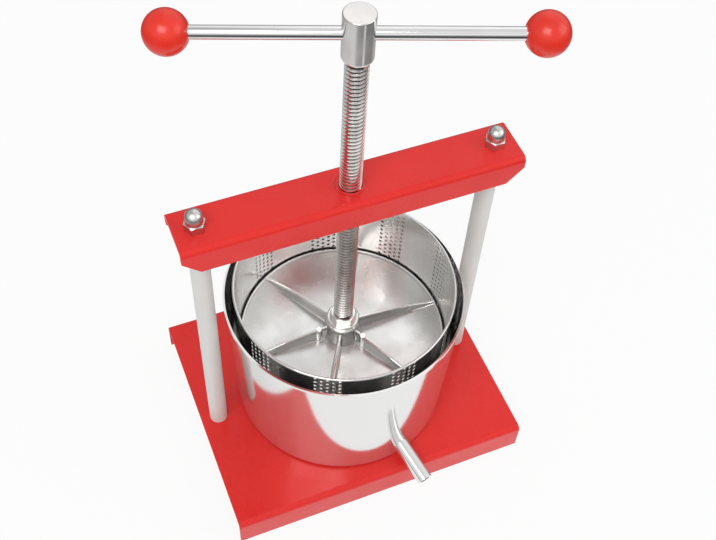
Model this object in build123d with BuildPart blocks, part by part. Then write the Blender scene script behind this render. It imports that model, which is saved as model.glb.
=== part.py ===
from build123d import *
import math
import os

os.makedirs("parts", exist_ok=True)

# All sizes in millimetres. X runs along the crossbar, Y to the back, Z up.
# The origin is on the table, under the screw.

# Clearances between pieces
fit_gap = 0.05
running_gap = 0.1
rod_gap = 0.25
thread_gap = 0.25

# Basket: perforated drum a little narrower below, with a rolled rim and a loose floor that wedges in it
basket_bore = 215.0
basket_taper = 0.7
basket_wall_thickness = 1.2
basket_height = 174.8
basket_bead = 2.6
basket_seam_drop = 0.5
basket_floor_lift = 8.0
basket_floor_thickness = 1.5
drain_hole = 4.0
drain_ring_step = 10.0
drain_rings = 9
drain_holes_per_ring = 6

# Pot: plain tapered drum around the basket, with a hemmed rim
juice_gap = 9.1
pot_taper = 2.45
pot_sheet = 1.2
pot_height = 164.0
pot_foot_radius = 5.0
pot_hem_height = 4.0
pot_hem_thickness = 0.8

# Spout: a tube on the pot's wall that leans down a little
spout_diameter = 16.0
spout_wall = 2.7
spout_hole_depth = 13.0
spout_reach = 44.4
spout_height = 18.3
spout_azimuth = -77.0
spout_slope = 12.0

# Posts, with a tie rod in each
post_gap = 11.75
post_diameter = 18.5
post_wall = 2.0
post_height = 320.0
rod_diameter = 10.0
rod_past_nut = 3.0
nut_sides = 6
nut_bevel_angle = 30.0
nut_across_flats = 17.0
nut_thickness = 8.0
washer_diameter = 20.0
washer_thickness = 2.0
cap_dome_diameter = 16.0
cap_neck = 5.0
cap_bore_depth = 13.0
rod_end_gap = 1.0

# Base: sheet bent down along the front and back edges
base_side_margin = 10.5
base_end_margin = 19.0
base_height = 36.0
base_sheet = 3.0
base_bend = 6.0

# Crossbar: narrow channel with cut-off flange corners
crossbar_end_margin = 20.0
crossbar_width = 50.0
crossbar_height = 29.0
crossbar_sheet = 4.0
crossbar_bend = 6.0
crossbar_corner_cut = 16.0

# Press plate: rimmed disc with a hub, ribs, bosses at the rim and, on every other rib, beside the hub
plate_gap = 0.6
plate_lowest_gap = 1.3
plate_rest_gap = 76.3
plate_thickness = 5.0
plate_rim_height = 2.5
plate_rim_width = 2.2
hub_height = 25.5
hub_foot_diameter = 40.0
hub_top_diameter = 33.0
hub_recess_diameter = 33.0
hub_recess_depth = 13.0
rib_count = 6
rib_thickness = 5.0
rib_edge_radius = 1.2
rib_height_at_hub = 16.0
rib_height_at_rim = 2.5
rib_bow = 2.5
rib_root = 1.0
rib_boss_diameter = 7.0
hub_boss_count = 3
hub_boss_diameter = 9.0
hub_boss_place = 26.3
hub_boss_edge = 0.8

# Screw: single-start trapezoidal thread, drawn as closed grooves one lead apart
thread_major = 20.0
thread_minor = 15.5
turns_per_inch = 6
thread_length = 343.0
crest_share = 0.34
flank_share = 0.16
bush_diameter = 28.0
bush_length = 32.0
shank_diameter = 15.0
shank_past_nut = 1.0
spigot_diameter = 14.0
spigot_length = 14.0

# What holds the plate on the screw
thrust_washer_diameter = 33.2
thrust_washer_thickness = 6.5
thrust_washer_edge = 1.5
thrust_nut_across_flats = 24.0
thrust_nut_thickness = 8.0
thrust_nut_turn = 41.0
retaining_washer_diameter = 30.0
retaining_washer_thickness = 2.5
retaining_nut_across_flats = 24.0
retaining_nut_thickness = 8.0

# Head, handle bar and knobs
head_diameter = 26.2
head_height = 44.0
head_top_edge = 1.0
head_foot_edge = 3.5
bar_height_in_head = 25.0
bar_diameter = 11.0
bar_azimuth = -19.6
knob_diameter = 36.0
knob_flat_diameter = 14.0
knob_centre_reach = 142.0
knob_spigot_diameter = 8.0
knob_spigot_length = 14.0
knob_bore_end_gap = 1.0

# Radii of basket and pot at their rims, and what follows from them
basket_inner = basket_bore / 2
basket_outer = basket_inner + basket_wall_thickness
pot_inner = basket_outer + juice_gap
pot_outer = pot_inner + pot_sheet
post_x = pot_outer + post_gap + post_diameter / 2
post_places = {"left": -post_x, "right": post_x}
rod_hole = rod_diameter / 2 + rod_gap
thread_lead = 1 * IN / turns_per_inch

# Heights worked out from the table upwards
crossbar_underside = base_height + post_height
crossbar_top = crossbar_underside + crossbar_sheet
pot_floor_top = base_height + pot_sheet
pot_top = base_height + pot_height
basket_floor_bottom = pot_floor_top + basket_floor_lift
basket_floor_top = basket_floor_bottom + basket_floor_thickness
basket_top = pot_floor_top + basket_height
plate_lowest = basket_floor_top + plate_lowest_gap
plate_bottom = basket_floor_top + plate_rest_gap
plate_face = plate_bottom + plate_thickness
hub_top = plate_bottom + hub_height
recess_top = plate_bottom + hub_recess_depth
thrust_nut_bottom = hub_top + thrust_washer_thickness
thread_bottom = thrust_nut_bottom + thrust_nut_thickness
thread_top = thread_bottom + thread_length
retaining_nut_top = recess_top - retaining_washer_thickness
shank_bottom = retaining_nut_top - retaining_nut_thickness - shank_past_nut
bar_height = thread_top + bar_height_in_head

# Directions
radial = math.cos(math.radians(spout_azimuth)), math.sin(math.radians(spout_azimuth))
slope = math.radians(spout_slope)
spout_way = Vector(radial[0] * math.cos(slope), radial[1] * math.cos(slope), -math.sin(slope))
bar_way = Vector(math.cos(math.radians(bar_azimuth)), math.sin(math.radians(bar_azimuth)), 0)


def write(piece, label):
    """Name a finished piece and save it as its own file."""
    piece.part.label = label
    export_step(piece.part, f"parts/{label}.step")


def basket_radius(rim_radius, height):
    """Radius of the basket's tapered wall at a height, from its radius at the rim."""
    return rim_radius - (basket_top - height) * math.tan(math.radians(basket_taper))


def pot_radius(rim_radius, height):
    """Radius of the pot's tapered wall at a height, from its radius at the rim."""
    return rim_radius - (pot_top - height) * math.tan(math.radians(pot_taper))


def upright_plane(place, azimuth=0.0):
    """Plane through a point with its x pointing outwards at an azimuth and its y pointing up."""
    turn = math.radians(azimuth)
    outwards = Vector(math.cos(turn), math.sin(turn), 0)
    return Plane(place, x_dir=outwards, z_dir=outwards.cross(Vector(0, 0, 1)))


def channel_outline(depth, height, sheet, bend, top):
    """Closed line of a bent channel's section: flat web on top, a flange down each side."""
    half = depth / 2
    foot = top - height
    outside = FilletPolyline((-half, foot), (-half, top), (half, top), (half, foot), radius=bend)
    inner = half - sheet
    inside = FilletPolyline(
        (-inner, foot), (-inner, top - sheet), (inner, top - sheet), (inner, foot), radius=bend - sheet
    )
    Line(outside @ 0, inside @ 0)
    Line(outside @ 1, inside @ 1)


def disc(radius, bore, bottom, thickness, x=0.0):
    """Flat ring, as used for washers."""
    with BuildPart() as ring:
        with BuildSketch(Plane((x, 0, bottom))):
            Circle(radius)
            Circle(bore, mode=Mode.SUBTRACT)
        extrude(amount=thickness)
    return ring


def hexagon_nut(across_flats, thickness, bore, place, turn=0.0):
    """Hexagon nut with its corners turned off on both faces."""
    flat = across_flats / 2
    corner = flat / math.cos(math.pi / nut_sides)
    bevel = (corner - flat) * math.tan(math.radians(nut_bevel_angle))
    with BuildPart() as nut:
        with BuildSketch(Plane(place)):
            RegularPolygon(flat, nut_sides, major_radius=False, rotation=turn)
        extrude(amount=thickness)
        with BuildSketch(upright_plane(place)):
            with BuildLine():
                Polyline(
                    (0, 0), (flat, 0), (corner, bevel),
                    (corner, thickness - bevel), (flat, thickness), (0, thickness), close=True,
                )
            make_face()
        revolve(axis=Axis(place, (0, 0, 1)), mode=Mode.INTERSECT)
        with BuildSketch(Plane(place)):
            Circle(bore)
        extrude(amount=thickness, mode=Mode.SUBTRACT)
    return nut


# Base
base_depth = 2 * (pot_outer + base_side_margin)
with BuildPart() as base:
    with BuildSketch(Plane.YZ):
        with BuildLine():
            channel_outline(base_depth, base_height, base_sheet, base_bend, base_height)
        make_face()
    extrude(amount=post_x + base_end_margin, both=True)
    with Locations(*[(x, 0, base_height) for x in post_places.values()]):
        Hole(rod_hole, depth=2 * base_sheet)
write(base, "base")

# Crossbar
with BuildPart() as crossbar:
    with BuildSketch(Plane.YZ):
        with BuildLine():
            channel_outline(crossbar_width, crossbar_height, crossbar_sheet, crossbar_bend, crossbar_top)
        make_face()
    extrude(amount=post_x + crossbar_end_margin, both=True)
    chamfer(crossbar.edges().filter_by(Axis.Y).group_by(Axis.Z)[0], crossbar_corner_cut)
    with Locations(*[(x, 0, crossbar_top) for x in post_places.values()]):
        Hole(rod_hole, depth=2 * crossbar_sheet)
    with Locations((0, 0, crossbar_top)):
        Hole(bush_diameter / 2 + fit_gap, depth=2 * crossbar_sheet)
write(crossbar, "crossbar")

# Threaded bush, let into the crossbar flush with its top
write(
    disc(bush_diameter / 2, thread_major / 2 + thread_gap, crossbar_top - bush_length, bush_length),
    "screw_bush",
)

# Posts, tie rods and the nuts at both ends of each rod
washer_bottom = base_height - base_sheet - washer_thickness
base_nut_bottom = washer_bottom - nut_thickness
rod_bottom = base_nut_bottom - rod_past_nut
rod_top = crossbar_top + cap_bore_depth - rod_end_gap
nut_bore = rod_diameter / 2 + fit_gap
cap_radius = cap_dome_diameter / 2
cap_height = nut_thickness + cap_neck
for side, x in post_places.items():
    write(disc(post_diameter / 2, post_diameter / 2 - post_wall, base_height, post_height, x), f"post_{side}")

    with BuildPart() as tie_rod:
        with BuildSketch(Plane((x, 0, rod_bottom))):
            Circle(rod_diameter / 2)
        extrude(amount=rod_top - rod_bottom)
    write(tie_rod, f"tie_rod_{side}")

    write(disc(washer_diameter / 2, rod_hole, washer_bottom, washer_thickness, x), f"base_washer_{side}")
    write(hexagon_nut(nut_across_flats, nut_thickness, nut_bore, (x, 0, base_nut_bottom)), f"base_nut_{side}")

    hexagon = hexagon_nut(nut_across_flats, nut_thickness, nut_bore, (x, 0, crossbar_top))
    with BuildPart() as cap_nut:
        add(hexagon.part)
        with BuildSketch(upright_plane((x, 0, crossbar_top))):
            with BuildLine():
                Polyline((0, nut_thickness), (cap_radius, nut_thickness), (cap_radius, cap_height))
                CenterArc((0, cap_height), cap_radius, 0, 90)
                Line((0, cap_height + cap_radius), (0, nut_thickness))
            make_face()
        revolve(axis=Axis((x, 0, 0), (0, 0, 1)))
        with BuildSketch(Plane((x, 0, crossbar_top))):
            Circle(nut_bore)
        extrude(amount=cap_bore_depth, mode=Mode.SUBTRACT)
    write(cap_nut, f"cap_nut_{side}")

# Press plate: turned disc with hub, then ribs and bosses, then the bore and the recess below
shank_bore = shank_diameter / 2 + running_gap
plate_radius = basket_radius(basket_inner, plate_lowest) - plate_gap
rim_inner = plate_radius - plate_rim_width
rim_top = plate_face + plate_rim_height
boss_centre = rim_inner - rib_boss_diameter / 2 + rib_root
rib_start = hub_top_diameter / 4
rib_top_at_hub = plate_face + rib_height_at_hub
rib_top_at_rim = plate_face + rib_height_at_rim
rib_middle = (rib_start + boss_centre) / 2
rib_planes = [upright_plane((0, 0, 0), 360 * i / rib_count) for i in range(rib_count)]
with BuildPart() as press_plate:
    with BuildSketch(*rib_planes):
        with BuildLine():
            Polyline(
                (rib_start, rib_top_at_hub), (rib_start, plate_face - rib_root),
                (boss_centre, plate_face - rib_root), (boss_centre, rib_top_at_rim),
            )
            ThreePointArc(
                (boss_centre, rib_top_at_rim),
                (rib_middle, (rib_top_at_hub + rib_top_at_rim) / 2 + rib_bow),
                (rib_start, rib_top_at_hub),
            )
        make_face()
    extrude(amount=rib_thickness / 2, both=True)
    fillet(press_plate.edges().filter_by(lambda edge: edge.center().Z > rib_top_at_rim), rib_edge_radius)
    with BuildSketch(Plane.XY.offset(plate_face - rib_root)):
        with PolarLocations(boss_centre, rib_count):
            Circle(rib_boss_diameter / 2)
    extrude(amount=plate_rim_height + rib_root)
    with BuildSketch(Plane.XY.offset(plate_face - rib_root)):
        with PolarLocations(hub_boss_place, hub_boss_count, start_angle=360 / rib_count):
            Circle(hub_boss_diameter / 2)
    extrude(amount=rib_height_at_hub + rib_root)
    boss_tops = press_plate.edges(Select.LAST).filter_by(GeomType.CIRCLE).group_by(Axis.Z)[-1]
    fillet(boss_tops, hub_boss_edge)
    with BuildSketch(Plane.XZ):
        with BuildLine():
            Polyline(
                (0, plate_bottom), (plate_radius, plate_bottom), (plate_radius, rim_top),
                (rim_inner, rim_top), (rim_inner, plate_face), (hub_foot_diameter / 2, plate_face),
                (hub_top_diameter / 2, hub_top), (0, hub_top), close=True,
            )
        make_face()
    revolve(axis=Axis.Z)
    with BuildSketch(Plane.XY.offset(plate_bottom)):
        Circle(shank_bore)
    extrude(amount=hub_height, mode=Mode.SUBTRACT)
    with BuildSketch(Plane.XY.offset(plate_bottom)):
        Circle(hub_recess_diameter / 2)
    extrude(amount=hub_recess_depth, mode=Mode.SUBTRACT)
write(press_plate, "press_plate")

# Thrust washer and nut on top of the hub, retaining washer and nut in the recess below
with BuildPart() as thrust_washer:
    with BuildSketch(Plane.XY.offset(hub_top)):
        Circle(thrust_washer_diameter / 2)
        Circle(shank_bore, mode=Mode.SUBTRACT)
    extrude(amount=thrust_washer_thickness)
    fillet(thrust_washer.edges().filter_by(GeomType.CIRCLE).group_by(SortBy.RADIUS)[-1], thrust_washer_edge)
write(thrust_washer, "thrust_washer")

screw_nut_bore = shank_diameter / 2 + fit_gap
thrust_nut = hexagon_nut(
    thrust_nut_across_flats, thrust_nut_thickness, screw_nut_bore, (0, 0, thrust_nut_bottom), thrust_nut_turn
)
write(thrust_nut, "thrust_nut")

retaining_washer = disc(
    retaining_washer_diameter / 2, shank_bore, retaining_nut_top, retaining_washer_thickness
)
write(retaining_washer, "retaining_washer")

retaining_nut_place = 0, 0, retaining_nut_top - retaining_nut_thickness
retaining_nut = hexagon_nut(
    retaining_nut_across_flats, retaining_nut_thickness, screw_nut_bore, retaining_nut_place
)
write(retaining_nut, "retaining_nut")

# Screw: grooved bar with a plain shank below and a spigot for the head above
crest_radius = thread_major / 2
root_radius = thread_minor / 2
flank = flank_share * thread_lead
crest = crest_share * thread_lead
groove_count = int(thread_length / thread_lead)
groove_feet = [thread_bottom + thread_lead * i for i in range(groove_count)]
groove_points = [
    point
    for foot in groove_feet
    for point in (
        (crest_radius, foot),
        (crest_radius, foot + crest),
        (root_radius, foot + crest + flank),
        (root_radius, foot + thread_lead - flank),
    )
]
with BuildPart() as screw:
    with BuildSketch(Plane.XZ):
        with BuildLine():
            Polyline(
                (0, shank_bottom), (shank_diameter / 2, shank_bottom), (shank_diameter / 2, thread_bottom),
                *groove_points,
                (crest_radius, groove_feet[-1] + thread_lead), (crest_radius, thread_top),
                (spigot_diameter / 2, thread_top), (spigot_diameter / 2, thread_top + spigot_length),
                (0, thread_top + spigot_length), close=True,
            )
        make_face()
    revolve(axis=Axis.Z)
write(screw, "screw")

# Head with a socket for the spigot and a cross hole for the bar
with BuildPart() as screw_head:
    with BuildSketch(Plane.XY.offset(thread_top)):
        Circle(head_diameter / 2)
    extrude(amount=head_height)
    fillet(screw_head.edges().group_by(Axis.Z)[-1], head_top_edge)
    fillet(screw_head.edges().group_by(Axis.Z)[0], head_foot_edge)
    with BuildSketch(Plane.XY.offset(thread_top)):
        Circle(spigot_diameter / 2 + fit_gap)
    extrude(amount=spigot_length + fit_gap, mode=Mode.SUBTRACT)
    with BuildSketch(Plane((0, 0, bar_height), z_dir=bar_way)):
        Circle(bar_diameter / 2 + running_gap)
    extrude(amount=head_diameter, both=True, mode=Mode.SUBTRACT)
write(screw_head, "screw_head")

# Handle bar, and a ball on each end
knob_radius = knob_diameter / 2
knob_flat_reach = math.sqrt(knob_radius**2 - (knob_flat_diameter / 2) ** 2)
bar_half_length = knob_centre_reach - knob_flat_reach
with BuildPart() as handle_bar:
    with BuildSketch(Plane((0, 0, bar_height), z_dir=bar_way)):
        Circle(bar_diameter / 2)
    extrude(amount=bar_half_length, both=True)
    with BuildSketch(Plane((0, 0, bar_height), z_dir=bar_way)):
        Circle(knob_spigot_diameter / 2)
    extrude(amount=bar_half_length + knob_spigot_length, both=True)
write(handle_bar, "handle_bar")

knob_bore_depth = knob_spigot_length + knob_bore_end_gap
for side, sign in {"left": -1, "right": 1}.items():
    centre = Vector(0, 0, bar_height) + bar_way * (sign * knob_centre_reach)
    mouth = Plane(centre - bar_way * (sign * knob_flat_reach), z_dir=bar_way * sign)
    with BuildPart() as knob:
        with Locations(centre):
            Sphere(knob_radius)
        split(bisect_by=mouth, keep=Keep.TOP)
        with BuildSketch(mouth):
            Circle(knob_spigot_diameter / 2 + fit_gap)
        extrude(amount=knob_bore_depth, mode=Mode.SUBTRACT)
    write(knob, f"knob_{side}")

# Pot wall with its rounded foot and hemmed rim, and the hole for the spout
spout_place = base_height + spout_height
spout_root_radius = pot_radius(pot_outer, spout_place)
spout_root = Vector(radial[0] * spout_root_radius, radial[1] * spout_root_radius, spout_place)
spout_plane = Plane(spout_root, z_dir=spout_way)
spout_bore = spout_diameter / 2 - spout_wall
hem_outer = pot_outer + pot_hem_thickness
hem_bottom = pot_top - pot_hem_height
pot_foot_outer = pot_radius(pot_outer, base_height)
pot_foot_inner = pot_radius(pot_inner, pot_floor_top)
pot_floor_radius = pot_foot_outer - pot_foot_radius
with BuildPart() as pot_wall:
    with BuildSketch(Plane.XZ):
        with BuildLine():
            outside = FilletPolyline(
                (pot_floor_radius, base_height), (pot_foot_outer, base_height),
                (pot_radius(pot_outer, hem_bottom), hem_bottom), radius=pot_foot_radius,
            )
            Polyline(
                outside @ 1, (hem_outer, hem_bottom + pot_hem_thickness),
                (hem_outer, pot_top), (pot_inner, pot_top),
            )
            inside = FilletPolyline(
                (pot_inner, pot_top), (pot_foot_inner, pot_floor_top), (pot_floor_radius, pot_floor_top),
                radius=pot_foot_radius - pot_sheet,
            )
            Line(inside @ 1, outside @ 0)
        make_face()
    revolve(axis=Axis.Z)
    with BuildSketch(spout_plane):
        Circle(spout_bore)
    extrude(amount=spout_hole_depth, both=True, mode=Mode.SUBTRACT)
write(pot_wall, "pot_wall")

# Flat floor of the pot, welded into the rounded foot
with BuildPart() as pot_floor:
    with BuildSketch(Plane.XY.offset(base_height)):
        Circle(pot_floor_radius)
    extrude(amount=pot_sheet)
write(pot_floor, "pot_floor")

# Spout, saddled to the pot's tapered wall
with BuildPart() as spout:
    with BuildSketch(spout_plane.offset(-spout_diameter)):
        Circle(spout_diameter / 2)
        Circle(spout_bore, mode=Mode.SUBTRACT)
    extrude(amount=spout_reach + spout_diameter)
    with BuildSketch(Plane.XZ):
        with BuildLine():
            Polyline(
                (0, base_height), (pot_foot_outer + fit_gap, base_height), (pot_outer + fit_gap, pot_top),
                (0, pot_top), close=True,
            )
        make_face()
    revolve(axis=Axis.Z, mode=Mode.SUBTRACT)
write(spout, "spout")

# Basket wall, up to the seam under its rolled rim
bead_radius = basket_bead / 2
bead_middle = basket_top - bead_radius
basket_seam = basket_top - basket_bead - basket_seam_drop
with BuildPart() as basket_wall:
    with BuildSketch(Plane.XZ):
        with BuildLine():
            Polyline(
                (basket_radius(basket_inner, pot_floor_top), pot_floor_top),
                (basket_radius(basket_outer, pot_floor_top), pot_floor_top),
                (basket_radius(basket_outer, basket_seam), basket_seam),
                (basket_radius(basket_inner, basket_seam), basket_seam), close=True,
            )
        make_face()
    revolve(axis=Axis.Z)
write(basket_wall, "basket_wall")

# Rolled rim of the basket
bead_centre = basket_radius(basket_inner, bead_middle) + bead_radius
with BuildPart() as basket_rim:
    with BuildSketch(Plane.XZ):
        with BuildLine():
            Polyline(
                (basket_radius(basket_inner, basket_seam), basket_seam),
                (basket_radius(basket_outer, basket_seam), basket_seam),
                (basket_radius(basket_outer, bead_middle), bead_middle),
                (basket_radius(basket_inner, bead_middle), bead_middle), close=True,
            )
        make_face()
        with Locations((bead_centre, bead_middle)):
            Circle(bead_radius)
    revolve(axis=Axis.Z)
write(basket_rim, "basket_rim")

# Basket floor with rings of drain holes, its edge slanted like the wall it wedges in
floor_radius_below = basket_radius(basket_inner, basket_floor_bottom)
floor_radius_above = basket_radius(basket_inner, basket_floor_top)
with BuildPart() as basket_floor:
    with BuildSketch(Plane.XZ):
        with BuildLine():
            Polyline(
                (0, basket_floor_bottom), (floor_radius_below, basket_floor_bottom),
                (floor_radius_above, basket_floor_top), (0, basket_floor_top), close=True,
            )
        make_face()
    revolve(axis=Axis.Z)
    with BuildSketch(Plane.XY.offset(basket_floor_bottom)):
        for ring in range(1, drain_rings + 1):
            with PolarLocations(ring * drain_ring_step, ring * drain_holes_per_ring):
                Circle(drain_hole / 2)
    extrude(amount=basket_floor_thickness, mode=Mode.SUBTRACT)
write(basket_floor, "basket_floor")
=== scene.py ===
"""Looks of a bench fruit press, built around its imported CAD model."""
import math

import bpy
import numpy as np
from bpy.props import FloatProperty, FloatVectorProperty, IntProperty, PointerProperty
from mathutils import Matrix, Vector


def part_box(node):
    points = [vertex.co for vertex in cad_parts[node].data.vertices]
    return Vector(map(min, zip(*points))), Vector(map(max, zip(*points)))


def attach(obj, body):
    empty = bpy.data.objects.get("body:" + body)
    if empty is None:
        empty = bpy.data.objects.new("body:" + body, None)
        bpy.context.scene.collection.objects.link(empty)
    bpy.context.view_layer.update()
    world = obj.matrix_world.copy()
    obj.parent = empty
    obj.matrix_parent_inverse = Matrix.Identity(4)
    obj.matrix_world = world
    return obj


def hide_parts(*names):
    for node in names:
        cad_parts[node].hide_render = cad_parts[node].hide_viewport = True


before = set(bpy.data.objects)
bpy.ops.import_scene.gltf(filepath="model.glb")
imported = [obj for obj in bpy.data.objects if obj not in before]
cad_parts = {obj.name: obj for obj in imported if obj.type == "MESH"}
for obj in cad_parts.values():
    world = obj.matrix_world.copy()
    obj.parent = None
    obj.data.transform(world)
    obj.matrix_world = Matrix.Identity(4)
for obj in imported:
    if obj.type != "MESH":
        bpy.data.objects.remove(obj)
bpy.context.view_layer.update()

bl_info = {
    "name": "Fruit Press Looks",
    "version": (1, 0, 0),
    "blender": (4, 5, 0),
    "location": "View3D > Sidebar > Fruit Press",
    "description": "Dresses a fruit press's CAD model with finishes, a cut thread and a perforated basket",
    "category": "Object",
}

wall_low, wall_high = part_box("basket_wall")
plate_low, plate_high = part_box("press_plate")
screw_low, screw_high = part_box("screw")
thread_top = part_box("screw_head")[0].z
thread_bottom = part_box("thrust_nut")[1].z


def length_setting(name, description, default):
    """Setting for a length in metres."""
    return FloatProperty(name=name, description=description, default=default, unit="LENGTH")


def angle_setting(name, description, degrees):
    """Setting for an angle, written in degrees."""
    return FloatProperty(name=name, description=description, default=math.radians(degrees), subtype="ANGLE")


def share_setting(name, description, default):
    """Setting for a share of a whole."""
    return FloatProperty(name=name, description=description, default=default, subtype="FACTOR")


def count_setting(name, description, default, least=1):
    """Setting for a number of pieces."""
    return IntProperty(name=name, description=description, default=default, min=least)


def colour_setting(name, description, default):
    """Setting for a colour."""
    return FloatVectorProperty(name=name, description=description, default=default, subtype="COLOR")


class PressBasketSizes(bpy.types.PropertyGroup):
    """Sizes of the perforated basket."""

    sheet: length_setting("Sheet", "Sheet thickness", 0.0005)
    fold: length_setting("Fold", "Wall thickness at the seam under the rim", 0.0012)
    taper: angle_setting("Taper", "Lean of the wall from upright", 0.7)
    bands: count_setting("Bands", "Upright bands of holes around the wall", 9, least=3)
    columns: count_setting("Columns", "Columns of holes in one band", 5)
    column_pitch: angle_setting("Column pitch", "Angle between columns", 3.14)
    rows: count_setting("Rows", "Holes in one column", 24)
    row_pitch: length_setting("Row pitch", "Height from hole to hole", 0.0065)
    hole: length_setting("Hole", "Hole diameter", 0.0033)
    top_margin: length_setting("Top margin", "Plain wall between the seam and the first holes", 0.0003)


class PressScrewSizes(bpy.types.PropertyGroup):
    """Sizes of the screw's thread."""

    minor: length_setting("Core", "Diameter at the thread's root", 0.0155)
    lead: length_setting("Lead", "Rise in one turn, with six turns to the inch", 0.0254 / 6)
    crest_share: share_setting("Crest", "Crest's share of the lead", 0.34)
    flank_share: share_setting("Flank", "One flank's share of the lead", 0.16)
    run_out: length_setting("Run-out", "Height over which the thread fades at its ends", 0.0025)
    shank: length_setting("Shank", "Diameter below the thread", 0.015)
    spigot: length_setting("Spigot", "Diameter inside the head", 0.014)
    chamfer: length_setting("Chamfer", "Cut edge at the shank's end", 0.001)


class PressPlateSizes(bpy.types.PropertyGroup):
    """Sizes of the cast press plate."""

    floor: length_setting("Floor", "Plate thickness between the ribs", 0.005)
    rim_height: length_setting("Rim height", "Rim above the floor", 0.0025)
    rim_width: length_setting("Rim width", "Width of the rim", 0.0022)
    hub_foot: length_setting("Hub foot", "Hub diameter at the floor", 0.040)
    hub_top: length_setting("Hub top", "Hub diameter at its top", 0.033)
    bore: length_setting("Bore", "Hole for the screw's shank", 0.0152)
    recess: length_setting("Recess", "Diameter of the recess below", 0.033)
    recess_depth: length_setting("Recess depth", "Depth of the recess below", 0.013)
    ribs: count_setting("Ribs", "Number of ribs", 6, least=3)
    rib_width: length_setting("Rib width", "Rib thickness", 0.005)
    rib_at_hub: length_setting("Rib at hub", "Rib height at the hub", 0.016)
    rib_at_rim: length_setting("Rib at rim", "Rib height at the rim", 0.0025)
    rib_bow: length_setting("Rib bow", "Rise of the rib's top over its straight line", 0.0025)
    fillet: length_setting("Fillet", "Rounding where ribs, hub and rim meet the floor", 0.0025)
    boss: length_setting("Boss", "Diameter of the bosses at the rim", 0.007)
    hub_boss: length_setting("Hub boss", "Diameter of the bosses beside the hub", 0.009)
    hub_boss_place: length_setting("Hub boss place", "From the axis to the middle of a hub boss", 0.0263)


class PressColours(bpy.types.PropertyGroup):
    """Colours of the finishes."""

    frame_red: colour_setting("Frame red", "Powder coat of base, crossbar and bush", (0.77, 0.025, 0.021))
    knob_red: colour_setting("Knob red", "Plastic of the knobs", (0.80, 0.024, 0.008))
    post_grey: colour_setting("Post grey", "Paint of the posts", (0.73, 0.725, 0.70))
    steel: colour_setting("Steel", "Stainless steel of pot, basket and screw", (0.83, 0.82, 0.80))
    chrome: colour_setting("Chrome", "Plating of the handle bar", (0.82, 0.82, 0.82))
    cast: colour_setting("Cast metal", "Polished press plate", (0.80, 0.795, 0.78))
    zinc: colour_setting("Zinc", "Plating of nuts, washers and tie rods", (0.66, 0.66, 0.65))


class PressStageSizes(bpy.types.PropertyGroup):
    """Camera and floor."""

    camera_place: FloatVectorProperty(name="Camera", description="Where the camera stands", unit="LENGTH",
                                      default=(-0.2527, -0.5625, 1.0725), subtype="TRANSLATION")
    camera_azimuth: angle_setting("Azimuth", "Camera to the right of the front", -25.3)
    camera_height: angle_setting("Elevation", "Camera above the level", 53.63)
    camera_roll: angle_setting("Roll", "Tilt of the picture", 4.1)
    focal_pixels: FloatProperty(name="Focal length", description="Focal length in picture pixels",
                                default=1081.6)
    picture_width: count_setting("Picture width", "Width of the picture in pixels", 716)
    floor_size: length_setting("Floor", "Side of the floor", 12.0)


def revolve_points(profile, azimuths):
    """Points of a surface of revolution: each profile point (radius, height) turned to each azimuth.

    x = radius cos(azimuth), y = radius sin(azimuth), z = height.
    """
    radius = profile[:, :1]
    x = radius * np.cos(azimuths)[None, :]
    y = radius * np.sin(azimuths)[None, :]
    z = np.broadcast_to(profile[:, 1:2], x.shape)
    return np.stack([x, y, z], axis=-1).reshape(-1, 3)


def grid_quads(rows, columns, wrap_rows=False, wrap_columns=True):
    """Quads between the points of a grid stored row by row, closed along rows or columns if asked."""
    r = np.arange(rows if wrap_rows else rows - 1)[:, None]
    c = np.arange(columns if wrap_columns else columns - 1)[None, :]
    r1 = (r + 1) % rows
    c1 = (c + 1) % columns
    quads = np.stack([r * columns + c, r * columns + c1, r1 * columns + c1, r1 * columns + c], axis=-1)
    return quads.reshape(-1, 4)


def weld(points, quads, step=1e-7):
    """Merge points that coincide, and drop quads that fold to a line."""
    _, first, index = np.unique(np.round(points / step).astype(np.int64), axis=0, return_index=True,
                                return_inverse=True)
    quads = index.reshape(-1)[quads]
    corners = 1 + np.count_nonzero(np.diff(np.sort(quads, axis=1), axis=1), axis=1)
    return points[first], quads[corners > 2]


def build_mesh(name, points, quads, sharp=math.radians(35)):
    """Mesh object at the origin from points and quads; a quad with a repeated corner becomes a triangle."""
    repeated = quads == np.roll(quads, -1, axis=1)
    folded = repeated.any(axis=1)
    triangles = quads[folded][~repeated[folded]].reshape(-1, 3)
    mesh = bpy.data.meshes.new(name)
    mesh.from_pydata(points.tolist(), [], quads[~folded].tolist() + triangles.tolist())
    mesh.validate()
    mesh.shade_smooth()
    mesh.set_sharp_from_angle(angle=sharp)
    obj = bpy.data.objects.new(name, mesh)
    bpy.context.scene.collection.objects.link(obj)
    return obj


def mark_polish(obj, floor):
    """Store a painted light value at each point: 0 for painted shade on steep faces, a half on the level
    floor, 1 for a painted highlight on tops.

    The upright part of the normal, counted from steep and full at steep plus span, is multiplied by a half
    plus half the height over the floor, which counts in full from full_rise up.
    """
    steep = 0.2
    span = 0.5
    full_rise = 0.002
    mesh = obj.data
    normals, points = np.empty((2, 3 * len(mesh.vertices)), np.float32)
    mesh.vertex_normals.foreach_get("vector", normals)
    mesh.vertices.foreach_get("co", points)
    level = np.clip((np.abs(normals[2::3]) - steep) / span, 0, 1)
    raised = np.clip((points[2::3] - floor) / full_rise, 0, 1)
    painted_slope_light = mesh.attributes.new("painted_slope_light", "FLOAT", "POINT")
    painted_slope_light.data.foreach_set("value", (level * (0.5 + raised / 2)).astype(np.float32))


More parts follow.
